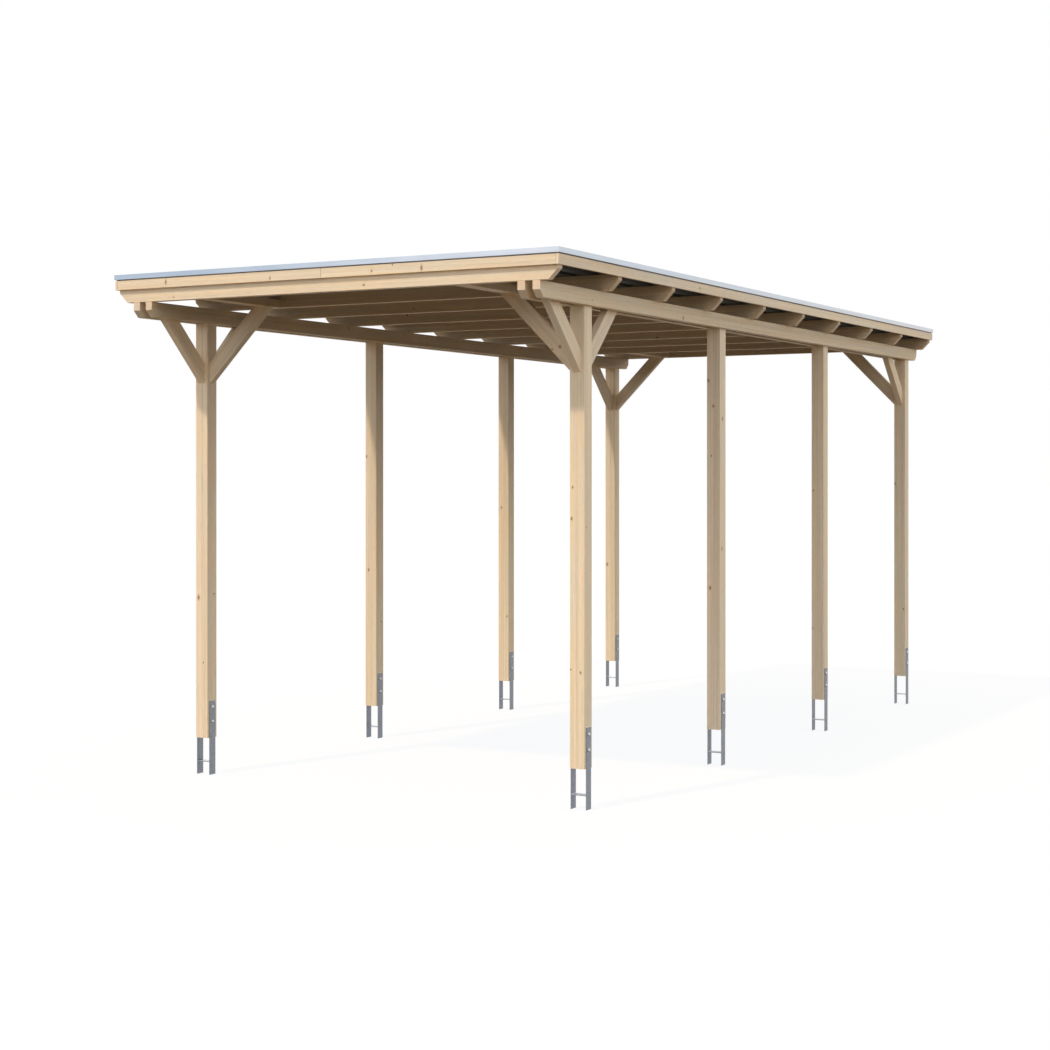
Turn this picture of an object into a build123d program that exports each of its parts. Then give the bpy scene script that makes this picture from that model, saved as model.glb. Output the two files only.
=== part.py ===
"""Tall open timber carport: two rows of posts, double purlins, knee braces and a level sheet-metal roof.

Millimetres, +Z up. The origin is on the ground under the middle of the roof; -Y is the drive-in front.
"""
import os

from build123d import *

# Posts: two rows of square timber, held clear of the ground by steel anchors
posts_per_row = 4
post_size = 120
post_row_spacing = 3440
post_pitch = 2480
post_foot_height = 300

# H-shaped post anchors: two flat legs on the post's sides, joined by a level web
anchor_length = 600
anchor_width = 75
anchor_thickness = 5
anchor_web_height = 105

# Double purlins: two beams clasp the tongue at the top of every post in a row
purlin_underside = 3667
purlin_height = 118
purlin_thickness = 60
purlin_gap = 60
purlin_end_cut = 54
purlin_rear_setback = 20

# Rafters: across the purlins, with slanted tails under the eaves
rafter_count = 10
rafter_height = 122
rafter_thickness = 60
rafter_end_cut = 77

# Roof outline, from the post centres to the outer face of the fascia boards
front_overhang = 816
rear_overhang = 290
side_overhang = 250

# Knee braces: cut at 45 degrees, standing on the post centreline
brace_depth = 118
brace_drop = 486

# Blocking: flat timbers between the end rafters that take the crosswise braces
blocking_width = 120
blocking_height = 60

# Fascia boards: they lap the rafter ends and stand up round the roof sheets as a shallow parapet
side_fascia_thickness = 20
end_fascia_thickness = 30
fascia_height = 116
fascia_lap = 21

# Folded metal trim: a cap over the top of the fascia boards
trim_thickness = 2
trim_standoff = 5
trim_face_height = 38
trim_inner_height = 30

# Shadow groove along the outside of the fascia boards, right under the trim
groove_height = 9
groove_depth = 8

# Ribbed roof sheets, laid side by side with one rib lapped; shares are of the rib pitch
sheet_count = 4
ribs_per_sheet = 5
rib_height = 35
sheet_thickness = 1
rib_crest_share = 0.2
rib_flank_share = 0.14
sheet_edge_share = 0.833

# Small bevel along the long edges of the structural timbers
arris = 3
brace_arris = 2

# How far every cut runs on past the material
overrun = 10

# Heights and outlines that follow from the sizes above
rafter_underside = purlin_underside + purlin_height
rafter_top = rafter_underside + rafter_height
fascia_bottom = rafter_top - fascia_lap
fascia_top = fascia_bottom + fascia_height
trim_top = fascia_top + trim_thickness
trim_bottom = trim_top - trim_face_height

post_run = (posts_per_row - 1) * post_pitch
roof_length = front_overhang + post_run + rear_overhang
roof_width = post_row_spacing + 2 * side_overhang
frame_length = roof_length - 2 * end_fascia_thickness
frame_width = roof_width - 2 * side_fascia_thickness

post_x = post_row_spacing / 2
post_ys = [-roof_length / 2 + front_overhang + i * post_pitch for i in range(posts_per_row)]
rafter_pitch = (frame_length - rafter_thickness) / (rafter_count - 1)
rafter_ys = [(i - (rafter_count - 1) / 2) * rafter_pitch for i in range(rafter_count)]
rib_pitch = frame_width / (sheet_count * ribs_per_sheet + 2 * sheet_edge_share)

brace_thickness = purlin_gap
brace_seat = brace_depth * 2 ** 0.5
brace_tip = purlin_underside - brace_drop
crosswise_reach = rafter_underside - brace_tip
blocking_x = post_x - post_size / 2 - crosswise_reach + brace_seat / 2

sides = {"left": -1, "right": 1}


def box(x_range, y_range, z_range):
    """Upright box between three pairs of limits."""
    ranges = (x_range, y_range, z_range)
    lows = [min(r) for r in ranges]
    spans = [max(r) - min(r) for r in ranges]
    low_corner = (Align.MIN, Align.MIN, Align.MIN)
    return Pos(*lows) * Box(*spans, align=low_corner)


def around(centre, width):
    """Limits of a width centred on a coordinate."""
    return (centre - width / 2, centre + width / 2)


def ring(outer, inner, z_range):
    """Rectangular ring round the middle of the roof; outer and inner are half widths along X and Y."""
    low, high = z_range
    opening = box(around(0, 2 * inner[0]), around(0, 2 * inner[1]), (low - overrun, high + overrun))
    return box(around(0, 2 * outer[0]), around(0, 2 * outer[1]), z_range) - opening


def slab(plane, outline, thickness):
    """Flat piece with a polygon outline, its thickness centred on the plane."""
    face = make_face(Polyline(*outline, close=True).edges())
    return extrude(plane * face, amount=thickness / 2, both=True)


def ease_long_edges(solid, axis):
    """Bevel the edges that run along one axis."""
    return chamfer(solid.edges().filter_by(axis), arris)


def make_post(x, y):
    """Square post whose top is cut back on two sides to a tongue that fills the gap between the purlins."""
    shaft = box(around(x, post_size), around(y, post_size), (post_foot_height, rafter_underside))
    shaft = ease_long_edges(shaft, Axis.Z)
    for side in sides.values():
        inner = x + side * purlin_gap / 2
        outer = x + side * (post_size / 2 + overrun)
        y_limits = around(y, post_size + 2 * overrun)
        shaft -= box((inner, outer), y_limits, (purlin_underside, rafter_underside + overrun))
    return shaft


def make_anchor(x, y):
    """Steel H: two legs on the post's left and right faces and a web between them."""
    y_limits = around(y, anchor_width)
    anchor = box(around(x, post_size), y_limits, around(anchor_web_height, anchor_thickness))
    for side in sides.values():
        inner = x + side * post_size / 2
        anchor += box((inner, inner + side * anchor_thickness), y_limits, (0, anchor_length))
    return anchor


def make_purlin(x):
    """Beam along a post row, both ends undercut on a slant; it stops short under the rear rafter."""
    front = -frame_length / 2
    rear = frame_length / 2 - purlin_rear_setback
    cut_top = purlin_underside + purlin_end_cut
    outline = [(front, rafter_underside), (front, cut_top), (front + purlin_end_cut, purlin_underside)]
    outline += [(rear - purlin_end_cut, purlin_underside), (rear, cut_top), (rear, rafter_underside)]
    return ease_long_edges(slab(Plane.YZ.offset(x), outline, purlin_thickness), Axis.Y)


def make_rafter(y):
    """Beam across the roof, both tails undercut on a slant."""
    end = frame_width / 2
    foot = end - rafter_end_cut
    cut_top = rafter_underside + rafter_end_cut
    outline = [(-end, rafter_top), (-end, cut_top), (-foot, rafter_underside)]
    outline += [(foot, rafter_underside), (end, cut_top), (end, rafter_top)]
    return ease_long_edges(slab(Plane.XZ.offset(-y), outline, rafter_thickness), Axis.X)


def brace_outline(post_face, direction):
    """Side view of a brace: upright seat on the post face, level seat at the rafters' underside."""
    far = post_face + direction * crosswise_reach
    near = far - direction * brace_seat
    seat_top = brace_tip + brace_seat
    return [(post_face, brace_tip), (far, rafter_underside), (near, rafter_underside), (post_face, seat_top)]


def lengthwise_brace(x, y, direction):
    """Brace along the row, its head between the two purlins."""
    outline = brace_outline(y + direction * post_size / 2, direction)
    brace = slab(Plane.YZ.offset(x), outline, brace_thickness)
    lean = Axis((0, 0, 0), (0, direction, 1))
    return chamfer(brace.edges().filter_by(lean), brace_arris)


def crosswise_brace(x, y, direction):
    """Brace towards the middle of the bay, its head under the blocking."""
    outline = brace_outline(x + direction * post_size / 2, direction)
    brace = slab(Plane.XZ.offset(-y), outline, brace_thickness)
    lean = Axis((0, 0, 0), (direction, 0, 1))
    return chamfer(brace.edges().filter_by(lean), brace_arris)


def make_blocking(side, first_rafter):
    """Flat timber between two neighbouring rafters, over the head of a crosswise brace."""
    front = rafter_ys[first_rafter] + rafter_thickness / 2
    rear = rafter_ys[first_rafter + 1] - rafter_thickness / 2
    z_limits = (rafter_underside, rafter_underside + blocking_height)
    return box(around(side * blocking_x, blocking_width), (front, rear), z_limits)


def make_sheet(index):
    """Roof sheet along the roof; its first rib lies over the last rib of the sheet before it."""
    crest = rib_crest_share * rib_pitch
    flank = rib_flank_share * rib_pitch
    spread = crest / 2 + flank
    start = (index - sheet_count / 2) * ribs_per_sheet * rib_pitch
    is_first = index == 0
    is_last = index == sheet_count - 1

    # Underside of the sheet from left to right; the two outer sheets run on flat to the fascia boards
    lower = [(-frame_width / 2, rafter_top)] if is_first else []
    for rib in range(ribs_per_sheet + 1):
        middle = start + rib * rib_pitch
        lifted = rib == 0 and not is_first
        lift = sheet_thickness if lifted else 0
        slope_run = lift * flank / rib_height
        if not lifted:
            lower.append((middle - spread, rafter_top))
        lower.append((middle - crest / 2, rafter_top + rib_height + lift))
        lower.append((middle + crest / 2, rafter_top + rib_height + lift))
        lower.append((middle + spread + slope_run, rafter_top))
    if is_last:
        lower.append((frame_width / 2, rafter_top))
    upper = [(x, z + sheet_thickness) for x, z in reversed(lower)]
    return slab(Plane.XZ, lower + upper, frame_length)


def make_fascias():
    """Side boards run the full length, end boards fit between them, and a groove runs round all four."""
    z_limits = (fascia_bottom, fascia_top)
    boards = {}
    for name, side in sides.items():
        x_limits = (side * frame_width / 2, side * roof_width / 2)
        boards[f"{name}_fascia"] = box(x_limits, around(0, roof_length), z_limits)
    for name, end in {"front": -1, "rear": 1}.items():
        y_limits = (end * frame_length / 2, end * roof_length / 2)
        boards[f"{name}_fascia"] = box(around(0, frame_width), y_limits, z_limits)

    groove_front = (roof_width / 2 + overrun, roof_length / 2 + overrun)
    groove_back = (roof_width / 2 - groove_depth, roof_length / 2 - groove_depth)
    groove = ring(groove_front, groove_back, (trim_bottom - groove_height, trim_bottom))
    return {name: board - groove for name, board in boards.items()}


def make_trims():
    """Folded metal cap on the fascia boards, with a leg down each side, mitred into four lengths."""
    proud = trim_standoff + trim_thickness
    half_x = roof_width / 2 + proud
    half_y = roof_length / 2 + proud
    inner_x = frame_width / 2 - proud
    inner_y = frame_length / 2 - proud
    face_back = (half_x - trim_thickness, half_y - trim_thickness)
    leg_back = (inner_x + trim_thickness, inner_y + trim_thickness)
    cap = ring((half_x, half_y), (inner_x, inner_y), (fascia_top, trim_top))
    cap += ring((half_x, half_y), face_back, (trim_bottom, trim_top))
    cap += ring(leg_back, (inner_x, inner_y), (trim_top - trim_inner_height, trim_top))

    mitres = {
        "front_trim": [(-half_x, -half_y), (half_x, -half_y), (inner_x, -inner_y), (-inner_x, -inner_y)],
        "rear_trim": [(-half_x, half_y), (half_x, half_y), (inner_x, inner_y), (-inner_x, inner_y)],
        "left_trim": [(-half_x, -half_y), (-half_x, half_y), (-inner_x, inner_y), (-inner_x, -inner_y)],
        "right_trim": [(half_x, -half_y), (half_x, half_y), (inner_x, inner_y), (inner_x, -inner_y)],
    }
    wedge_plane = Plane.XY.offset(trim_top)
    wedge_height = 2 * (trim_face_height + overrun)
    return {name: cap & slab(wedge_plane, corners, wedge_height) for name, corners in mitres.items()}


def build_nodes():
    """Every named piece of the carport."""
    nodes = {}
    for name, side in sides.items():
        row_x = side * post_x
        for number, y in enumerate(post_ys, 1):
            nodes[f"{name}_post_{number}"] = make_post(row_x, y)
        nodes[f"{name}_anchors"] = Compound([make_anchor(row_x, y) for y in post_ys])
        purlin_shift = (purlin_gap + purlin_thickness) / 2
        nodes[f"{name}_outer_purlin"] = make_purlin(row_x + side * purlin_shift)
        nodes[f"{name}_inner_purlin"] = make_purlin(row_x - side * purlin_shift)

        # Front posts are braced three ways, rear posts two ways, the posts between them not at all
        front_y = post_ys[0]
        rear_y = post_ys[-1]
        front_set = [lengthwise_brace(row_x, front_y, direction) for direction in (-1, 1)]
        front_set.append(crosswise_brace(row_x, front_y, -side))
        rear_set = [lengthwise_brace(row_x, rear_y, -1), crosswise_brace(row_x, rear_y, -side)]
        nodes[f"front_{name}_braces"] = Compound(front_set)
        nodes[f"rear_{name}_braces"] = Compound(rear_set)

    for number, y in enumerate(rafter_ys, 1):
        nodes[f"rafter_{number}"] = make_rafter(y)
    bays = {"front_blocking": 0, "rear_blocking": rafter_count - 2}
    for name, first_rafter in bays.items():
        nodes[name] = Compound([make_blocking(side, first_rafter) for side in sides.values()])
    for index in range(sheet_count):
        nodes[f"roof_sheet_{index + 1}"] = make_sheet(index)
    nodes.update(make_fascias())
    nodes.update(make_trims())
    return nodes


os.makedirs("parts", exist_ok=True)
for node_name, shape in build_nodes().items():
    solids = shape.solids()
    piece = solids[0] if len(solids) == 1 else Compound(solids)
    export_step(piece, f"parts/{node_name}.step")
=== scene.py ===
"""Open timber carport with a ribbed metal roof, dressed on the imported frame: metres, +Z up, -Y the drive-in front."""
import math
import random

import bmesh
import bpy
from mathutils import Matrix, Vector


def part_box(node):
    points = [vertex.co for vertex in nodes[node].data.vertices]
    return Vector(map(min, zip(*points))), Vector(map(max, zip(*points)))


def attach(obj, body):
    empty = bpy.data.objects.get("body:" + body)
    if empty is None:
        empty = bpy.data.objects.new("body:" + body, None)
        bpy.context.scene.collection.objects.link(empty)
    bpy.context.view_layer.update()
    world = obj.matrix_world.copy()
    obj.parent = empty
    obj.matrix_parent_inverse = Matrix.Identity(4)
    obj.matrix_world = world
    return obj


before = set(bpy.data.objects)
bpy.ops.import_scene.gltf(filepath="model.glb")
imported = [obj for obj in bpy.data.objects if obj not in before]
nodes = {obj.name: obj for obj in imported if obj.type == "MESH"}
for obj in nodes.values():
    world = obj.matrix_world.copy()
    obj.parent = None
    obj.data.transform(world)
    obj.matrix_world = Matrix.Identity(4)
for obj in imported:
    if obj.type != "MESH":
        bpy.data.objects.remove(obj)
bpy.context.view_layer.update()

X_AXIS, Y_AXIS, Z_AXIS = (1, 0, 0), (0, 1, 0), (0, 0, 1)


def middle(name, axis):
    """Middle of a CAD node's box along one axis."""
    low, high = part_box(name)
    return (low[axis] + high[axis]) / 2


POST_X = middle("right_post_1", 0)
POST_YS = [middle(f"right_post_{number}", 1) for number in range(1, 5)]
RAFTER_YS = [middle(f"rafter_{number}", 1) for number in range(1, 11)]
RAFTER_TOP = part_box("rafter_1")[1][2]


# ---- Node material helper

class Shader:
    """One node material with a Principled surface, and short calls to add nodes to it."""

    def __init__(self, name):
        self.material = bpy.data.materials.new(name)
        self.material.use_nodes = True
        self.tree = self.material.node_tree
        self.tree.nodes.clear()
        self.surface = self.add("ShaderNodeBsdfPrincipled")
        output = self.add("ShaderNodeOutputMaterial")
        self.tree.links.new(self.surface.outputs["BSDF"], output.inputs["Surface"])

    def add(self, kind, **settings):
        node = self.tree.nodes.new(kind)
        for key, value in settings.items():
            setattr(node, key, value)
        return node

    def put(self, socket, value):
        if isinstance(value, bpy.types.NodeSocket):
            self.tree.links.new(value, socket)
        elif socket.type == "RGBA":
            socket.default_value = (*value, 1.0)
        else:
            socket.default_value = value

    def set(self, **values):
        """Values of the surface's own sockets, by name with underscores for spaces."""
        for key, value in values.items():
            self.put(self.surface.inputs[key.replace("_", " ")], value)

    def position(self):
        return self.add("ShaderNodeTexCoord").outputs["Object"]

    def math(self, operation, a, b=0.0, clamp=False):
        node = self.add("ShaderNodeMath", operation=operation, use_clamp=clamp)
        self.put(node.inputs[0], a)
        self.put(node.inputs[1], b)
        return node.outputs[0]

    def vector(self, operation, a, b=(0, 0, 0)):
        node = self.add("ShaderNodeVectorMath", operation=operation)
        self.put(node.inputs[0], a)
        self.put(node.inputs[1], b)
        return node.outputs["Value" if operation in ("DOT_PRODUCT", "LENGTH") else "Vector"]

    def combine(self, x, y, z):
        node = self.add("ShaderNodeCombineXYZ")
        for socket, value in zip(node.inputs, (x, y, z)):
            self.put(socket, value)
        return node.outputs[0]

    def separate(self, vector):
        node = self.add("ShaderNodeSeparateXYZ")
        self.put(node.inputs[0], vector)
        return node.outputs

    def noise(self, where, stretch, detail=2.0, roughness=0.5):
        """Noise of 0 to 1 with its own frequency along each axis."""
        node = self.add("ShaderNodeTexNoise")
        self.put(node.inputs["Vector"], self.vector("MULTIPLY", where, stretch))
        self.put(node.inputs["Scale"], 1.0)
        self.put(node.inputs["Detail"], detail)
        self.put(node.inputs["Roughness"], roughness)
        return node.outputs["Fac"]

    def cells(self, where, scale):
        """A random value and the edge distance of irregular cells."""
        colour = self.add("ShaderNodeTexVoronoi")
        self.put(colour.inputs["Vector"], where)
        self.put(colour.inputs["Scale"], scale)
        value = self.separate(colour.outputs["Color"])[0]
        edge = self.add("ShaderNodeTexVoronoi", feature="DISTANCE_TO_EDGE")
        self.put(edge.inputs["Vector"], where)
        self.put(edge.inputs["Scale"], scale)
        return value, edge.outputs["Distance"]

    def fade(self, value, low, high, out_low=0.0, out_high=1.0):
        """Smooth change from one value to another between two limits."""
        node = self.add("ShaderNodeMapRange", interpolation_type="SMOOTHSTEP")
        for name, v in (("Value", value), ("From Min", low), ("From Max", high),
                        ("To Min", out_low), ("To Max", out_high)):
            self.put(node.inputs[name], v)
        return node.outputs["Result"]

    def ramp(self, value, stops):
        node = self.add("ShaderNodeValToRGB")
        elements = node.color_ramp.elements
        while len(elements) < len(stops):
            elements.new(0.5)
        for element, (place, colour) in zip(elements, stops):
            element.position = place
            element.color = (*colour, 1.0)
        self.put(node.inputs[0], value)
        return node.outputs["Color"]

    def mix(self, share, a, b, blend="MIX"):
        node = self.add("ShaderNodeMix", data_type="RGBA", blend_type=blend)
        for socket, value in zip((node.inputs[0], node.inputs[6], node.inputs[7]), (share, a, b)):
            self.put(socket, value)
        return node.outputs[2]

    def grey(self, value):
        return self.combine(value, value, value)

    def bump(self, height, distance, strength):
        node = self.add("ShaderNodeBump")
        self.put(node.inputs["Height"], height)
        self.put(node.inputs["Distance"], distance)
        self.put(node.inputs["Strength"], strength)
        return node.outputs["Normal"]


# ---- Timber: planed spruce with growth rings, fibres, knots and end grain

EARLY_WOOD = (0.880, 0.722, 0.520)
LATE_WOOD = (0.720, 0.525, 0.320)
KNOT_HALO = (0.600, 0.375, 0.190)
KNOT_CORE = (0.37, 0.205, 0.100)
KNOT_HEART = (0.270, 0.145, 0.070)
KNOT_RING = (0.17, 0.088, 0.042)
CHECK_SHADE = (0.33, 0.21, 0.12)
GLUE_LINE = (0.42, 0.29, 0.17)
JOINT_SHADE = (0.20, 0.13, 0.08)
# Colour of the painted shade in the groove under the trim
GROOVE_SHADE_TONE = (0.125, 0.130, 0.145)

# Tones of a sawn end, as shares of the tone along the grain
END_GRAIN = (1.10, 1.09, 1.18)
LATE_END_GRAIN = (0.84, 0.74, 0.66)

KNOT_REACH = 0.022
HALF_PLY = 0.03

# Shifts along the log, in metres, that give plies, boards and neighbours grain of their own
PLY_SHIFT = 4.7
BOARD_SHIFT = 5.9
BLOCK_SHIFT = 2.3
BRACE_TURN = 5.3
BRACE_SHIFT = 2.1


def nearest_knot(s, grain, wood, knots):
    """Distance from the nearest knot, in knot radii and with a ragged edge; a knot is an ellipsoid at a face."""
    nearest = 9.0
    for a, b, c, radius, stretch, normal in knots:
        radii = [radius * stretch, radius / stretch, radius / stretch]
        radii[normal] = KNOT_REACH
        offset = s.vector("SUBTRACT", grain, (a, b, c))
        size = s.vector("LENGTH", s.vector("DIVIDE", offset, tuple(radii)))
        nearest = s.math("MINIMUM", nearest, size)
    ragged = s.noise(wood, (90, 190, 190), 2.0)
    return s.math("ADD", nearest, s.math("MULTIPLY", s.math("SUBTRACT", ragged, 0.5), 0.5))


def growth_rings(s, dice, wood, ring_across, ring_depth, bulge):
    """Late wood of the rings round a pith that wanders along the member; the bulge draws them round knots."""
    pith_across = dice.choice((-1, 1)) * dice.uniform(0.02, 0.07)
    pith_depth = dice.choice((-1, 1)) * dice.uniform(0.035, 0.09)
    wander = s.noise(wood, (0.9, 5.0, 5.0), 2.0)
    drift = s.noise(wood, (0.55, 0.0, 0.0), 1.0)
    off_across = s.math("ADD", s.math("ADD", ring_across, pith_across), s.math("MULTIPLY", drift, 0.03))
    off_depth = s.math("ADD", s.math("ADD", ring_depth, pith_depth), s.math("MULTIPLY", wander, 0.014))
    radius = s.math("ADD", s.vector("LENGTH", s.combine(0.0, off_across, off_depth)), bulge)
    ring_width = dice.uniform(0.0030, 0.0042)
    phase = s.math("FRACT", s.math("DIVIDE", radius, ring_width))
    return s.math("MULTIPLY", s.fade(phase, 0.15, 0.86), s.fade(phase, 0.90, 1.0, 1.0, 0.0))


def knot_colour(s, colour, nearest, heart):
    """Brown halo round a knot, and rings in its dark heart."""
    colour = s.mix(s.fade(nearest, 1.0, 2.3, 0.50, 0.0), colour, KNOT_HALO)
    whorl = s.math("FRACT", s.math("MULTIPLY", nearest, 4.5))
    heart_colour = s.mix(s.fade(nearest, 0.35, 0.95), KNOT_CORE, KNOT_HEART)
    heart_colour = s.mix(s.math("MULTIPLY", whorl, 0.35), heart_colour, KNOT_RING)
    return s.mix(s.math("MULTIPLY", heart, 0.88), colour, heart_colour)


def paint_groove_shade(s, colour, across, depth, patch, groove):
    """Painted shade in the groove under the trim, where the overhang shades the wood; groove is its low and high limit,
    its back and its side.
    """
    low, high, inner, outward = groove
    level = s.math("MULTIPLY", s.fade(across, low - 0.0015, low), s.fade(across, high, high + 0.001, 1.0, 0.0))
    outside = s.math("GREATER_THAN", s.math("MULTIPLY", depth, outward), inner)
    # Painted shade, a little patchy, on the wood inside the groove
    groove_shade = s.math("MULTIPLY", s.math("MULTIPLY", level, outside), s.fade(patch, 0.2, 0.8, 0.50, 0.60))
    return s.mix(groove_shade, colour, GROOVE_SHADE_TONE)


def timber(name, grain_of, knots, laminated=False, tint=(1.0, 1.0, 1.0), joints=(), groove=None):
    """Solid wood: grain_of gives (along, across, depth) in metres from the middle of the member, and its direction.

    A knot is (along, across, depth, radius, stretch along the grain, face normal).
    """
    dice = random.Random(name)
    s = Shader(name)
    grain, grain_direction = grain_of(s)
    along, across, depth = s.separate(grain)

    # Two-ply members are glued along the middle; each ply has its own rings and tone
    ply_tone = 0.0
    ring_along, ring_across, ring_depth = along, across, depth
    if laminated:
        second = s.math("GREATER_THAN", across, 0.0)
        glue = s.fade(s.math("ABSOLUTE", across), 0.0004, 0.0012, 1.0, 0.0)
        contrast = dice.choice((-1, 1)) * dice.uniform(0.06, 0.11)
        ply_tone = s.math("MULTIPLY", s.math("SUBTRACT", second, 0.5), contrast)
        ring_along = s.math("ADD", along, s.math("MULTIPLY", second, PLY_SHIFT))
        ring_across = s.math("SUBTRACT", s.math("ABSOLUTE", across), HALF_PLY)
        ring_depth = s.math("ADD", depth, s.math("MULTIPLY", second, 0.035))

    # Long boards are butted: a fine dark line, and other grain beyond it
    joint_line = 0.0
    for place in joints:
        beyond = s.math("SUBTRACT", along, place)
        line = s.fade(s.math("ABSOLUTE", beyond), 0.0010, 0.0030, 1.0, 0.0)
        joint_line = s.math("MAXIMUM", joint_line, line)
        past = s.math("GREATER_THAN", beyond, 0.0)
        ring_along = s.math("ADD", ring_along, s.math("MULTIPLY", past, BOARD_SHIFT))
    wood = s.combine(s.math("ADD", ring_along, dice.uniform(3, 40)), ring_across, ring_depth)

    bulge = 0.0
    if knots:
        nearest = nearest_knot(s, grain, wood, knots)
        near_square = s.math("MULTIPLY", nearest, nearest)
        bulge = s.math("DIVIDE", 0.012, s.math("ADD", near_square, 1.0))
    late = growth_rings(s, dice, wood, ring_across, ring_depth, bulge)

    # Fibres, broader streaks and flecks, all drawn out along the grain
    fibre = s.noise(wood, (4.0, 420.0, 420.0), 3.0, 0.6)
    streak = s.noise(wood, (0.5, 52.0, 52.0), 3.0, 0.6)
    band = s.noise(wood, (0.22, 13.0, 13.0), 2.0)
    patch = s.noise(wood, (1.1, 4.0, 4.0), 2.0)
    fleck = s.noise(wood, (13.0, 75.0, 75.0), 3.0, 0.6)
    blush = s.noise(wood, (0.8, 36.0, 36.0), 2.0)

    dark = s.math("MULTIPLY", late, 0.34)
    for texture, share in ((fibre, 0.55), (streak, 0.55), (band, 0.40)):
        dark = s.math("ADD", dark, s.math("MULTIPLY", s.math("SUBTRACT", texture, 0.5), share))
    dark = s.math("ADD", s.math("ADD", dark, ply_tone), 0.10, clamp=True)
    colour = s.mix(dark, EARLY_WOOD, LATE_WOOD)
    shade = s.math("ADD", s.math("MULTIPLY", streak, 0.27), s.math("MULTIPLY", band, 0.14))
    shade = s.math("ADD", shade, s.math("MULTIPLY", fleck, 0.20))
    colour = s.mix(1.0, colour, s.grey(s.math("SUBTRACT", 1.305, shade)), "MULTIPLY")
    warm = s.mix(s.fade(patch, 0.3, 0.7), (0.985, 1.0, 1.005), (1.02, 0.985, 0.955))
    colour = s.mix(1.0, colour, warm, "MULTIPLY")
    rosy = s.mix(s.fade(blush, 0.3, 0.7), (0.975, 1.005, 1.055), (1.03, 0.99, 0.93))
    colour = s.mix(1.0, colour, rosy, "MULTIPLY")
    member_tone = dice.uniform(0.975, 1.025)
    colour = s.mix(1.0, colour, tuple(member_tone * channel for channel in tint), "MULTIPLY")

    # Fine drying checks, a few centimetres to a few decimetres long
    check_line = s.noise(wood, (1.3, 120.0, 120.0), 1.0)
    check_spot = s.noise(wood, (1.7, 9.0, 9.0), 1.0)
    check = s.math("MULTIPLY", s.fade(check_line, 0.735, 0.775), s.fade(check_spot, 0.56, 0.66))
    colour = s.mix(s.math("MULTIPLY", check, 0.55), colour, CHECK_SHADE)

    rough = s.fade(fibre, 0.25, 0.75, 0.56, 0.70)
    height = s.math("ADD", s.math("MULTIPLY", fibre, 0.5), s.math("MULTIPLY", late, 0.35))
    height = s.math("SUBTRACT", height, s.math("MULTIPLY", check, 1.2))

    if laminated:
        colour = s.mix(s.math("MULTIPLY", glue, 0.5), colour, GLUE_LINE)
    if joints:
        colour = s.mix(s.math("MULTIPLY", joint_line, 0.60), colour, JOINT_SHADE)
        height = s.math("SUBTRACT", height, s.math("MULTIPLY", joint_line, 1.5))
    if knots:
        heart = s.fade(nearest, 0.70, 1.10, 1.0, 0.0)
        colour = knot_colour(s, colour, nearest, heart)
        height = s.math("ADD", height, s.math("MULTIPLY", heart, 0.5))

    # Sawn ends have a tone of their own and are rougher
    normal = s.add("ShaderNodeNewGeometry").outputs["Normal"]
    end = s.fade(s.math("ABSOLUTE", s.vector("DOT_PRODUCT", normal, grain_direction)), 0.55, 0.95)
    ends = s.mix(s.math("MULTIPLY", late, 0.35), END_GRAIN, LATE_END_GRAIN)
    colour = s.mix(end, colour, s.mix(1.0, colour, ends, "MULTIPLY"))
    rough = s.math("ADD", rough, s.math("MULTIPLY", end, 0.15))

    if groove:
        # Painted shade: the wood is darkened in the groove under the trim
        colour = paint_groove_shade(s, colour, across, depth, patch, groove)
    s.set(Base_Color=colour, Roughness=rough, Specular_IOR_Level=0.32, Normal=s.bump(height, 0.0006, 0.55))
    return s.material


def straight_grain(centre, along, across, depth):
    """Grain coordinates of a straight member, from the middle of its box."""
    def grain_of(s):
        offset = s.vector("SUBTRACT", s.position(), tuple(centre))
        parts = [s.vector("DOT_PRODUCT", offset, axis) for axis in (along, across, depth)]
        return s.combine(*parts), along
    return grain_of


def random_knots(name, half, faces, per_metre):
    """Knots on some faces of a straight member; half gives half its length, width and depth."""
    dice = random.Random(name + " knots")
    knots = []
    for normal, side in faces:
        other = 3 - normal
        for _ in range(round(2 * half[0] * per_metre * dice.uniform(0.6, 1.4))):
            spot = [0.0, 0.0, 0.0]
            spot[0] = dice.uniform(-0.95, 0.95) * half[0]
            spot[other] = dice.uniform(-0.75, 0.75) * half[other]
            spot[normal] = side * half[normal]
            knots.append((*spot, dice.uniform(0.004, 0.009), dice.uniform(0.85, 1.2), normal))
    return knots


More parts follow.
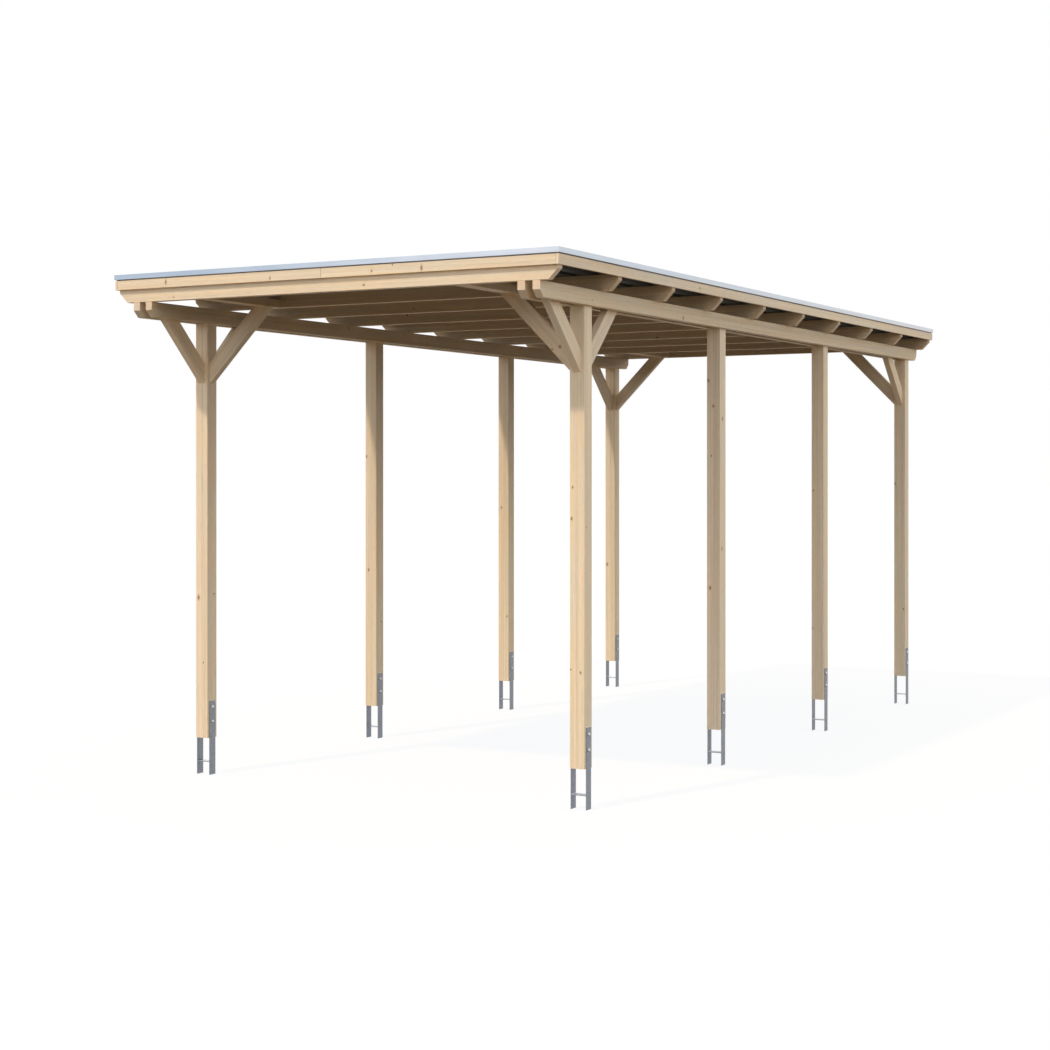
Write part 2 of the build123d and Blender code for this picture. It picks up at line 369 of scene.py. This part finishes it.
def dress_straight(name, along, across, depth, front=(), right=(), hidden_faces=(), per_metre=0.5, joints=(),
                   groove_side=0, **options):
    """Wood for one straight member.

    Knots that stand out are (x, z, radius, stretch) on its front face and (y, z, radius, stretch) on its right
    face; joints are places along it, all in the shared frame.
    """
    low, high = (Vector(corner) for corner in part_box(name))
    centre = (low + high) / 2
    axes = [Vector(axis) for axis in (along, across, depth)]
    half = [(high - centre).dot(axis) for axis in axes]
    seen = [(Vector((x, low.y, z)), radius, stretch, Y_AXIS) for x, z, radius, stretch in front]
    seen += [(Vector((high.x, y, z)), radius, stretch, X_AXIS) for y, z, radius, stretch in right]
    knots = []
    for spot, radius, stretch, face in seen:
        normal = [i for i, axis in enumerate(axes) if axis.dot(Vector(face))][0]
        knots.append((*[(spot - centre).dot(axis) for axis in axes], radius, stretch, normal))
    knots += random_knots(name, half, hidden_faces, per_metre)
    if groove_side:
        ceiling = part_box("front_trim")[0][2] - centre.z
        options["groove"] = (ceiling - GROOVE_HEIGHT, ceiling, half[2] - GROOVE_DEPTH - 0.001, groove_side)
    options["joints"] = [place - centre.dot(axes[0]) for place in joints]
    paint(name, timber(f"{name}_wood", straight_grain(centre, along, across, depth), knots, **options))


def paint(name, material):
    """Puts a material into every material slot of a CAD node."""
    slots = nodes[name].material_slots
    if not slots:
        nodes[name].data.materials.append(material)
    for slot in slots:
        slot.material = material


# Knots that stand out on a post: (x, z, radius, stretch) on its front and (y, z, radius, stretch) on its right
POST_FRONT_KNOTS = {
    "right_post_1": [(1.676, 2.118, 0.009, 1.3), (1.684, 2.346, 0.007, 1.3), (1.668, 1.020, 0.006, 1.0),
                     (1.748, 1.000, 0.008, 1.2)],
    "left_post_1": [(-1.750, 1.440, 0.013, 1.3), (-1.702, 0.912, 0.006, 1.3)],
    "right_post_2": [(1.690, 1.488, 0.011, 1.3), (1.702, 2.598, 0.006, 1.3),
                     (1.674, 3.230, 0.010, 1.2), (1.719, 3.015, 0.009, 1.2)],
    "left_post_2": [(-1.744, 1.560, 0.010, 1.3), (-1.768, 2.610, 0.008, 1.3)],
    "right_post_3": [(1.678, 2.292, 0.007, 1.3), (1.672, 0.978, 0.006, 1.3)],
    "left_post_3": [(-1.744, 2.100, 0.009, 1.3), (-1.678, 0.972, 0.008, 1.3)],
    "right_post_4": [(1.672, 2.346, 0.008, 1.3), (1.762, 1.014, 0.008, 1.3)],
    "left_post_4": [(-1.756, 1.410, 0.012, 1.3)],
}
POST_RIGHT_KNOTS = {
    "right_post_1": [(-3.483, 2.056, 0.005, 1.3)],
    "left_post_1": [(-3.435, 1.468, 0.006, 0.8)],
    "right_post_2": [(-0.985, 2.908, 0.012, 1.3), (-0.997, 1.816, 0.010, 1.3)],
    "left_post_2": [(-0.955, 1.078, 0.008, 1.3)],
}
FRONT_FASCIA_KNOTS = [(-1.466, 3.926, 0.011, 0.65), (0.862, 3.914, 0.012, 0.65), (-0.474, 3.907, 0.008, 0.65),
                      (0.615, 3.951, 0.006, 0.7), (0.436, 3.913, 0.007, 0.8)]
FRONT_RAFTER_KNOTS = [(-1.414, 3.809, 0.005, 1.1), (0.348, 3.819, 0.008, 1.1)]
CEILING_KNOTS = {"rafter_7": [(0.072, 3.797, 0.010, 1.1)]}
RIGHT_FASCIA_KNOTS = [(-1.881, 3.920, 0.009, 1.0)]
RIGHT_PURLIN_KNOTS = [(-1.851, 3.690, 0.013, 0.9), (-3.451, 3.710, 0.005, 1.1), (-0.641, 3.728, 0.006, 1.1)]

# Faces of a straight member that get random knots: the grain axis across the face, and the side
ACROSS_LOW, DEPTH_LOW, DEPTH_HIGH = (1, -1), (2, -1), (2, 1)
GROOVE_HEIGHT, GROOVE_DEPTH = 0.009, 0.008
# The end boards meet the side boards just beyond this, and are butted near the middle
FASCIA_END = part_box("right_fascia")[0][0] - 0.0005
BUTT_JOINT = 0.012
# Darker, warmer copy of the wood for rafters 2 to 10 and the blocking under the roof: painted shade
UNDER_ROOF_SHADE_TINT = (0.89, 0.855, 0.80)
# The outer purlins are darkened a little; the inner purlins, in the shade under the roof, get a darker copy of the
# wood: painted shade
PURLIN_SHADE_TINTS = {"outer": (0.91, 0.895, 0.855), "inner": (0.87, 0.855, 0.81)}
USUAL_POST_TINT = (1.02, 1.02, 1.01)
POST_TINTS = {
    "left_post_1": (1.09, 1.085, 1.09),
    "left_post_2": (1.0, 0.985, 0.965),
    "left_post_3": (1.04, 1.02, 0.98),
    "left_post_4": (1.09, 1.08, 1.05),
    "right_post_2": (1.04, 1.04, 1.05),
}

for side in ("left", "right"):
    for number in range(1, 5):
        post = f"{side}_post_{number}"
        dress_straight(post, Z_AXIS, X_AXIS, Y_AXIS, POST_FRONT_KNOTS[post], POST_RIGHT_KNOTS.get(post, ()),
                       (DEPTH_HIGH, ACROSS_LOW), 0.9, laminated=True, tint=POST_TINTS.get(post, USUAL_POST_TINT))
    for place in ("outer", "inner"):
        purlin = f"{side}_{place}_purlin"
        shown = RIGHT_PURLIN_KNOTS if purlin == "right_outer_purlin" else ()
        faces = (DEPTH_LOW,) if shown else (DEPTH_LOW, DEPTH_HIGH)
        dress_straight(purlin, Y_AXIS, Z_AXIS, X_AXIS, (), shown, faces, 0.4, tint=PURLIN_SHADE_TINTS[place])
dress_straight("rafter_1", X_AXIS, Z_AXIS, Y_AXIS, FRONT_RAFTER_KNOTS, (), (DEPTH_HIGH,), 0.5)
for number in range(2, 11):
    rafter = f"rafter_{number}"
    dress_straight(rafter, X_AXIS, Z_AXIS, Y_AXIS, CEILING_KNOTS.get(rafter, ()), (), (DEPTH_LOW, DEPTH_HIGH), 0.3,
                   tint=UNDER_ROOF_SHADE_TINT)
dress_straight("front_fascia", X_AXIS, Z_AXIS, Y_AXIS, FRONT_FASCIA_KNOTS,
               joints=(-FASCIA_END, -BUTT_JOINT, FASCIA_END), groove_side=-1)
dress_straight("rear_fascia", X_AXIS, Z_AXIS, Y_AXIS, (), (), (DEPTH_HIGH,), 1.1,
               joints=(-FASCIA_END, BUTT_JOINT, FASCIA_END), groove_side=1)
dress_straight("right_fascia", Y_AXIS, Z_AXIS, X_AXIS, (), RIGHT_FASCIA_KNOTS, groove_side=1)
dress_straight("left_fascia", Y_AXIS, Z_AXIS, X_AXIS, (), (), (DEPTH_LOW,), 0.5, groove_side=-1)


HALF_BLOCK = 0.060
BLOCK_FACE = 0.030
BLOCK_KNOT = (BLOCK_SHIFT + 0.15, 0.02, -BLOCK_FACE, 0.008, 1.2, 2)


def blocking_grain(name):
    """Both flat timbers of a bay lie lengthwise, one each side of the middle."""
    low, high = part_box(name)
    middle_y, middle_z = (low[1] + high[1]) / 2, (low[2] + high[2]) / 2
    block_x = high[0] - HALF_BLOCK

    def grain_of(s):
        x, y, z = s.separate(s.position())
        apart = s.math("SUBTRACT", s.math("ABSOLUTE", x), block_x)
        shift = s.math("MULTIPLY", s.math("SIGN", x), BLOCK_SHIFT)
        lengthwise = s.math("ADD", s.math("SUBTRACT", y, middle_y), shift)
        return s.combine(lengthwise, apart, s.math("SUBTRACT", z, middle_z)), Y_AXIS
    return grain_of


for name in ("front_blocking", "rear_blocking"):
    paint(name, timber(f"{name}_wood", blocking_grain(name), [BLOCK_KNOT], tint=UNDER_ROOF_SHADE_TINT))


def brace_grain(post_x, post_y, axis_height):
    """Braces lean away from one post at 45 degrees, along the row and across the bay."""
    slope = math.sqrt(0.5)

    def grain_of(s):
        x, y, z = s.separate(s.position())
        gap_x = s.math("SUBTRACT", x, post_x)
        gap_y = s.math("SUBTRACT", y, post_y)
        wide_x, wide_y = s.math("ABSOLUTE", gap_x), s.math("ABSOLUTE", gap_y)
        out = s.math("MAXIMUM", wide_x, wide_y)
        depth = s.math("MINIMUM", wide_x, wide_y)
        crosswise = s.math("GREATER_THAN", wide_x, wide_y)
        shift = s.math("MULTIPLY", s.math("SIGN", gap_y), BRACE_SHIFT)
        turn = s.math("ADD", s.math("MULTIPLY", crosswise, BRACE_TURN), shift)
        rise = s.math("SUBTRACT", z, axis_height)
        lengthwise = s.math("MULTIPLY", s.math("ADD", out, rise), slope)
        sideways = s.math("MULTIPLY", s.math("SUBTRACT", out, rise), slope)
        # Direction of the brace, for its sawn ends
        lean_x = s.math("MULTIPLY", s.math("MULTIPLY", s.math("SIGN", gap_x), crosswise), slope)
        upright = s.math("SUBTRACT", 1.0, crosswise)
        lean_y = s.math("MULTIPLY", s.math("MULTIPLY", s.math("SIGN", gap_y), upright), slope)
        return s.combine(s.math("ADD", lengthwise, turn), sideways, depth), s.combine(lean_x, lean_y, slope)
    return grain_of


# The brace axis meets the post's middle line at this height
BRACE_TIP, HALF_BRACE_SEAT, HALF_POST = 3.181, 0.0834, 0.060
BRACE_AXIS = BRACE_TIP + HALF_BRACE_SEAT - HALF_POST
BRACE_FACE = 0.030

# Knots on the front of the right front post's crosswise brace: (along, across, radius)
FRONT_BRACE_KNOTS = [(0.231, -0.010, 0.010), (0.087, -0.005, 0.009), (0.263, 0.048, 0.007)]

for end, post_y in (("front", POST_YS[0]), ("rear", POST_YS[-1])):
    for side, sign in (("left", -1), ("right", 1)):
        name = f"{end}_{side}_braces"
        dice = random.Random(name)
        turn = dice.choice((BRACE_TURN + BRACE_SHIFT, BRACE_SHIFT, -BRACE_SHIFT))
        knots = [(turn + dice.uniform(0.2, 0.8), dice.uniform(-0.04, 0.04), BRACE_FACE, 0.006, 1.2, 2)]
        if name == "front_right_braces":
            front_of_brace = BRACE_TURN - BRACE_SHIFT
            for lengthwise, sideways, radius in FRONT_BRACE_KNOTS:
                knots.append((front_of_brace + lengthwise, sideways, BRACE_FACE, radius, 1.1, 2))
        paint(name, timber(f"{name}_wood", brace_grain(sign * POST_X, post_y, BRACE_AXIS), knots))


# ---- Metals

def galvanised(name, tone, spangle, top=1.0, under=1.0):
    """Hot-dip zinc: spangle of uneven tone and dull bloom; faces turned up get a painted highlight and faces turned
    down painted shade.
    """
    s = Shader(name)
    place = s.position()
    grain, edge = s.cells(place, spangle)
    bloom = s.noise(place, (14, 14, 14), 4.0, 0.6)
    streaks = s.noise(place, (70, 70, 6), 3.0)
    value = s.math("ADD", s.math("MULTIPLY", grain, 0.30), s.math("MULTIPLY", bloom, 0.55))
    value = s.math("ADD", value, s.math("MULTIPLY", streaks, 0.20))
    dim = tuple(c * 0.66 for c in tone)
    bright = tuple(min(1.0, c * 1.34) for c in tone)
    colour = s.ramp(value, [(0.25, dim), (0.55, tone), (0.85, bright)])
    colour = s.mix(s.fade(edge, 0.0, 0.06, 0.16, 0.0), colour, dim)
    # Painted light and shade: faces turned up are multiplied by top, faces turned down by under
    upward = s.separate(s.add("ShaderNodeNewGeometry").outputs["Normal"])[2]
    painted_light_and_shade = s.math("MULTIPLY", s.fade(upward, 0.2, 0.8, 1.0, top), s.fade(upward, -0.6, -0.1, under, 1.0))
    colour = s.mix(1.0, colour, s.grey(painted_light_and_shade), "MULTIPLY")
    rough = s.math("ADD", s.math("MULTIPLY", grain, 0.14), s.fade(bloom, 0.3, 0.7, 0.36, 0.52))
    height = s.math("ADD", s.math("MULTIPLY", grain, 0.4), s.noise(place, (260, 260, 260), 2.0))
    s.set(Base_Color=colour, Metallic=1.0, Roughness=rough, Normal=s.bump(height, 0.0003, 0.35))
    return s.material


def folded_metal(node, along, first_reflection_tone, last_reflection_tone):
    """Satin rolled aluminium: fine rolling lines along each length, soft smudges, and a painted reflection, a tone that
    runs from one end of each length to the other.
    """
    s = Shader(f"{node}_metal")
    place = s.position()
    fine = [900.0, 900.0, 900.0]
    fine[along] = 5.0
    broad = [40.0, 40.0, 40.0]
    broad[along] = 0.5
    lines = s.noise(place, tuple(fine), 3.0, 0.6)
    cloud = s.noise(place, tuple(broad), 3.0)
    smudge = s.noise(place, (3.0, 3.0, 9.0), 4.0, 0.6)
    value = s.math("ADD", s.math("MULTIPLY", lines, 0.25), s.math("MULTIPLY", cloud, 0.40))
    value = s.math("ADD", value, s.math("MULTIPLY", smudge, 0.35))
    # Painted reflection: the tone runs from the first to the last along the length
    low, high = (corner[along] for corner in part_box(node))
    drift = s.fade(s.separate(place)[along], low, high)
    colour = s.mix(drift, first_reflection_tone, last_reflection_tone)
    grey = s.ramp(value, [(0.30, (0.86, 0.87, 0.90)), (0.52, (1.0, 1.0, 1.0)), (0.72, (1.12, 1.11, 1.09))])
    colour = s.mix(1.0, colour, grey, "MULTIPLY")
    rough = s.fade(smudge, 0.3, 0.7, 0.34, 0.48)
    s.set(Base_Color=colour, Metallic=1.0, Roughness=rough, Normal=s.bump(lines, 0.0002, 0.25))
    return s.material


def coated_sheet(name):
    """Dark coated steel: fine coating grain, and on top dust that lies in the pans and is drawn along them."""
    s = Shader(name)
    place = s.position()
    normal = s.separate(s.add("ShaderNodeNewGeometry").outputs["Normal"])
    upward = s.fade(normal[2], 0.2, 0.9)
    grain = s.noise(place, (700, 700, 700), 2.0)
    runs = s.noise(place, (17, 0.5, 17), 3.0, 0.5)
    cloud = s.noise(place, (2.0, 1.2, 2.0), 4.0, 0.55)
    colour = s.mix(s.fade(cloud, 0.25, 0.75), (0.040, 0.041, 0.035), (0.058, 0.060, 0.052))
    colour = s.mix(s.math("MULTIPLY", s.fade(grain, 0.45, 0.70), 0.25), colour, (0.092, 0.095, 0.086))
    in_pan = s.fade(s.separate(place)[2], RAFTER_TOP + 0.004, RAFTER_TOP + 0.022, 1.0, 0.12)
    dust = s.math("MULTIPLY", s.math("MULTIPLY", s.fade(runs, 0.35, 0.75, 0.14, 0.46), upward), in_pan)
    colour = s.mix(dust, colour, (0.30, 0.29, 0.265))
    rough = s.math("ADD", s.fade(cloud, 0.3, 0.7, 0.60, 0.70), s.math("MULTIPLY", dust, 0.3))
    s.set(Base_Color=colour, Roughness=rough, Specular_IOR_Level=0.12, Normal=s.bump(grain, 0.0002, 0.25))
    return s.material


def rubber(name):
    """Black sealing washer with a dusty bloom."""
    s = Shader(name)
    place = s.position()
    bloom = s.noise(place, (160, 160, 160), 3.0)
    colour = s.mix(s.fade(bloom, 0.35, 0.75), (0.018, 0.018, 0.019), (0.060, 0.058, 0.055))
    s.set(Base_Color=colour, Roughness=s.fade(bloom, 0.3, 0.7, 0.6, 0.85), Normal=s.bump(bloom, 0.0002, 0.3))
    return s.material


# top and under paint light: the anchors' faces turned up are painted much lighter, and the bolt heads' undersides are
# painted dark
anchor_steel = galvanised("anchor_zinc", (0.275, 0.295, 0.325), 85.0, top=2.9, under=0.9)
bolt_steel = galvanised("bolt_zinc", (0.74, 0.75, 0.76), 240.0, top=1.3, under=0.12)
sheet_coating = coated_sheet("sheet_coating")
washer_rubber = rubber("washer_rubber")

# Tones of the trim at the low and the high end of each length: a painted reflection that changes along it
SIDE_TRIM_REFLECTION_TONES = (0.60, 0.655, 0.715), (0.675, 0.70, 0.725)
END_TRIM_REFLECTION_TONES = (0.46, 0.55, 0.665), (0.675, 0.725, 0.81)

for side in ("left", "right"):
    paint(f"{side}_anchors", anchor_steel)
    paint(f"{side}_trim", folded_metal(f"{side}_trim", 1, *SIDE_TRIM_REFLECTION_TONES))
for end in ("front", "rear"):
    paint(f"{end}_trim", folded_metal(f"{end}_trim", 0, *END_TRIM_REFLECTION_TONES))
for number in range(1, 5):
    paint(f"roof_sheet_{number}", sheet_coating)


# ---- Small hardware in mesh code

def circle(radius, height, count=24):
    turn = 2 * math.pi / count
    return [(radius * math.cos(i * turn), radius * math.sin(i * turn), height) for i in range(count)]


def hexagon_ring(across_flats, cap_radius, height, slope, count=36):
    """Rim of a hexagon whose corners are turned down by a cone from a round cap."""
    points = []
    for i in range(count):
        angle = 2 * math.pi * i / count
        within = (angle + math.pi / 6) % (math.pi / 3) - math.pi / 6
        radius = across_flats / 2 / math.cos(math.pi / 6 - abs(within))
        drop = max(0.0, radius - cap_radius) * slope
        points.append((radius * math.cos(angle), radius * math.sin(angle), height - drop))
    return points


def skin(mesh, rings, place, material=0):
    """Closed surface through rings of points; a ring of one point closes an end."""
    rows = [[mesh.verts.new(place @ Vector(point)) for point in ring] for ring in rings]
    for low, high in zip(rows, rows[1:]):
        count = max(len(low), len(high))
        for i in range(count):
            j = (i + 1) % count
            corners = [low[i % len(low)], low[j % len(low)], high[j % len(high)], high[i % len(high)]]
            face = mesh.faces.new(list(dict.fromkeys(corners)))
            face.material_index = material


def washer(mesh, place, radius, base, thickness, material=0):
    ease = min(0.0004, thickness / 3)
    rings = [[(0, 0, base)], circle(radius - ease, base), circle(radius, base + ease)]
    rings += [circle(radius, base + thickness - ease), circle(radius - ease, base + thickness)]
    skin(mesh, rings + [[(0, 0, base + thickness)]], place, material)


def hexagon(mesh, place, across_flats, base, height, dish):
    """Screw head with chamfered corners and a dished top."""
    cap = across_flats * 0.475
    slope = math.tan(math.radians(30))
    top = base + height
    rings = [[(0, 0, base)], hexagon_ring(across_flats, across_flats, base, slope)]
    rings += [hexagon_ring(across_flats, cap, top, slope), circle(cap, top, 36)]
    rings += [circle(cap * 0.72, top, 36), circle(cap * 0.62, top - dish, 36)]
    skin(mesh, rings + [[(0, 0, top - dish)]], place)


def dome(mesh, place, radius, height, socket):
    """Round screw head with a small hexagon socket."""
    rim = height * 0.22
    rings = [[(0, 0, 0)], circle(radius * 0.97, 0.0, 36), circle(radius, rim * 0.4, 36), circle(radius, rim, 36)]
    for step in range(1, 7):
        angle = step / 8 * math.pi / 2
        rings.append(circle(radius * math.cos(angle) ** 0.75, rim + (height - rim) * math.sin(angle), 36))
    rings.append(circle(socket * 0.66, height, 36))
    rings.append(hexagon_ring(socket, 1.0, height - 0.0002, 0.0))
    rings.append(hexagon_ring(socket, 1.0, height - 0.0028, 0.0))
    skin(mesh, rings + [[(0, 0, height - 0.0030)]], place)


def weld(mesh, dice, corner_x, y, level, leg, up):
    """Rippled fillet bead in the corner between a leg and the web of an anchor."""
    rings = []
    for i in range(WELD_STEPS + 1):
        along = y + (ANCHOR_WIDTH - 0.003) * (i / WELD_STEPS - 0.5)
        swell = 0.0042 + 0.0007 * math.sin(i * 2.1 + leg) + dice.uniform(-0.0002, 0.0002)
        if i in (0, WELD_STEPS):
            swell *= 0.55
        rings.append([(corner_x, along, level), (corner_x - leg * swell, along, level),
                      (corner_x - leg * swell * 0.62, along, level + up * swell * 0.62),
                      (corner_x, along, level + up * swell)])
    first, last = ([(corner_x - leg * 0.001, y + end * (ANCHOR_WIDTH / 2 - 0.0008), level + up * 0.001)]
                   for end in (-1, 1))
    skin(mesh, [first] + rings + [last], Matrix.Identity(4))


def finish_piece(name, mesh, materials, sharp=30):
    """Turns a bmesh into a piece that rides on the frame."""
    bmesh.ops.recalc_face_normals(mesh, faces=mesh.faces)
    data = bpy.data.meshes.new(name)
    mesh.to_mesh(data)
    mesh.free()
    for material in materials:
        data.materials.append(material)
    data.polygons.foreach_set("use_smooth", [True] * len(data.polygons))
    data.set_sharp_from_angle(angle=math.radians(sharp))
    piece = bpy.data.objects.new(name, data)
    bpy.context.scene.collection.objects.link(piece)
    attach(piece, "root")
    return piece


def facing(point, direction, spin):
    """Place at a point whose local Z points out along a direction, turned about it."""
    turn = Vector(direction).to_track_quat("Z", "Y").to_matrix().to_4x4()
    return Matrix.Translation(point) @ turn @ Matrix.Rotation(spin, 4, "Z")


# Post anchors: the legs lie on the post, the web is level between them
ANCHOR_STEEL = 0.005
ANCHOR_WIDTH = 2 * (POST_YS[0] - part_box("right_anchors")[0][1])
WEB_HEIGHT = 0.105
WELD_STEPS = 32
SCREW_HEIGHTS = (0.550, 0.434)
SCREW_RADIUS, SCREW_DOME, SCREW_SOCKET = 0.0140, 0.0092, 0.006

for side, sign in (("left", -1), ("right", 1)):
    dice = random.Random(f"{side} bolts")
    bolts = bmesh.new()
    welds = bmesh.new()
    for y in POST_YS:
        for z in SCREW_HEIGHTS:
            for leg in (-1, 1):
                face_x = sign * POST_X + leg * (HALF_POST + ANCHOR_STEEL)
                head = facing((face_x, y, z), (leg, 0, 0), dice.uniform(0, 6))
                dome(bolts, head, SCREW_RADIUS, SCREW_DOME, SCREW_SOCKET)
        for leg in (-1, 1):
            for up in (1, -1):
                corner_x = sign * POST_X + leg * HALF_POST
                weld(welds, dice, corner_x, y, WEB_HEIGHT + up * ANCHOR_STEEL / 2, leg, up)
    finish_piece(f"{side}_anchor_bolts", bolts, [bolt_steel])
    finish_piece(f"{side}_anchor_welds", welds, [anchor_steel], 50)

# Self-drilling screws with sealing washers, in the pans of the roof sheets over the rafters
RIB_PITCH = 0.180
PAN_COUNT = 20
PAN_TOP = RAFTER_TOP + 0.001

# Discs under a screw's head from the sheet up: (radius, thickness, material)
SCREW_DISCS = [(0.0078, 0.0020, 1), (0.0080, 0.0010, 0), (0.0056, 0.0008, 0)]
screws = bmesh.new()
dice = random.Random("roof screws")
for row, y in enumerate(RAFTER_YS):
    every = 1 if row in (0, len(RAFTER_YS) - 1) else 2
    for pan in range(0, PAN_COUNT, every):
        x = (pan - (PAN_COUNT - 1) / 2) * RIB_PITCH + dice.uniform(-0.006, 0.006)
        place = facing((x, y + dice.uniform(-0.005, 0.005), PAN_TOP), Z_AXIS, dice.uniform(0, 6))
        level = 0.0
        for radius, thickness, material in SCREW_DISCS:
            washer(screws, place, radius, level, thickness, material)
            level += thickness
        hexagon(screws, place, 0.0080, level, 0.0044, dish=0.0006)
finish_piece("roof_screws", screws, [bolt_steel, washer_rubber])


# ---- Stage, light and camera

def make_floor():
    """Plain pale floor that reads as white to the eye and keeps the soft shadow."""
    data = bpy.data.meshes.new("floor")
    reach, level = 400.0, -0.001
    corners = [(-reach, -reach, level), (reach, -reach, level), (reach, reach, level), (-reach, reach, level)]
    data.from_pydata(corners, [], [(0, 1, 2, 3)])
    floor = bpy.data.objects.new("floor", data)
    bpy.context.scene.collection.objects.link(floor)
    material = bpy.data.materials.new("floor_paint")
    material.use_nodes = True
    tree = material.node_tree
    tree.nodes.clear()
    diffuse = tree.nodes.new("ShaderNodeBsdfDiffuse")
    diffuse.inputs["Color"].default_value = (0.125, 0.098, 0.070, 1)
    glow = tree.nodes.new("ShaderNodeEmission")
    glow.inputs["Color"].default_value = (0.87, 0.89, 0.915, 1)
    seen = seen_directly(tree)
    tree.links.new(seen, glow.inputs["Strength"])
    both = tree.nodes.new("ShaderNodeAddShader")
    tree.links.new(diffuse.outputs[0], both.inputs[0])
    tree.links.new(glow.outputs[0], both.inputs[1])
    output = tree.nodes.new("ShaderNodeOutputMaterial")
    tree.links.new(both.outputs[0], output.inputs["Surface"])
    data.materials.append(material)


def seen_directly(tree):
    """1 for rays of the camera, of reflections and of glass, 0 for light."""
    path = tree.nodes.new("ShaderNodeLightPath")
    first = tree.nodes.new("ShaderNodeMath")
    first.operation = "MAXIMUM"
    tree.links.new(path.outputs["Is Camera Ray"], first.inputs[0])
    tree.links.new(path.outputs["Is Glossy Ray"], first.inputs[1])
    second = tree.nodes.new("ShaderNodeMath")
    second.operation = "MAXIMUM"
    tree.links.new(first.outputs[0], second.inputs[0])
    tree.links.new(path.outputs["Is Transmission Ray"], second.inputs[1])
    return second.outputs[0]


def make_world():
    world = bpy.data.worlds.new("studio")
    bpy.context.scene.world = world
    world.use_nodes = True
    tree = world.node_tree
    tree.nodes.clear()
    light = tree.nodes.new("ShaderNodeBackground")
    light.inputs["Color"].default_value = (0.95, 1.0, 1.06, 1)
    height = tree.nodes.new("ShaderNodeSeparateXYZ")
    tree.links.new(tree.nodes.new("ShaderNodeTexCoord").outputs["Generated"], height.inputs[0])
    level = tree.nodes.new("ShaderNodeMapRange")
    tree.links.new(height.outputs["Z"], level.inputs["Value"])
    for name, value in (("From Min", 0.0), ("From Max", 0.9), ("To Min", 1.36), ("To Max", 0.80)):
        level.inputs[name].default_value = value
    tree.links.new(level.outputs["Result"], light.inputs["Strength"])
    white = tree.nodes.new("ShaderNodeBackground")
    white.inputs["Color"].default_value = (1.0, 1.0, 1.0, 1)
    white.inputs["Strength"].default_value = 1.0
    mix = tree.nodes.new("ShaderNodeMixShader")
    tree.links.new(seen_directly(tree), mix.inputs[0])
    tree.links.new(light.outputs[0], mix.inputs[1])
    tree.links.new(white.outputs[0], mix.inputs[2])
    output = tree.nodes.new("ShaderNodeOutputWorld")
    tree.links.new(mix.outputs[0], output.inputs["Surface"])


def make_key_light():
    lamp = bpy.data.lights.new("key", "SUN")
    lamp.energy = 1.7
    lamp.angle = math.radians(2.5)
    lamp.color = (1.0, 0.89, 0.75)
    key = bpy.data.objects.new("key", lamp)
    key.rotation_euler = Vector((-0.235, -0.82, 1.0)).to_track_quat("Z", "Y").to_euler()
    bpy.context.scene.collection.objects.link(key)


def make_camera():
    lens = bpy.data.cameras.new("camera")
    lens.sensor_width = 36.0
    lens.lens = 66.00
    lens.shift_y = -0.04679
    lens.clip_end = 1000.0
    camera = bpy.data.objects.new("camera", lens)
    camera.location = (8.1729, -15.9300, 2.4292)
    camera.rotation_euler = (math.radians(90), 0, math.radians(29.0166))
    bpy.context.scene.collection.objects.link(camera)
    bpy.context.scene.camera = camera


make_floor()
make_world()
make_key_light()
make_camera()
bpy.context.scene.view_settings.view_transform = "Standard"
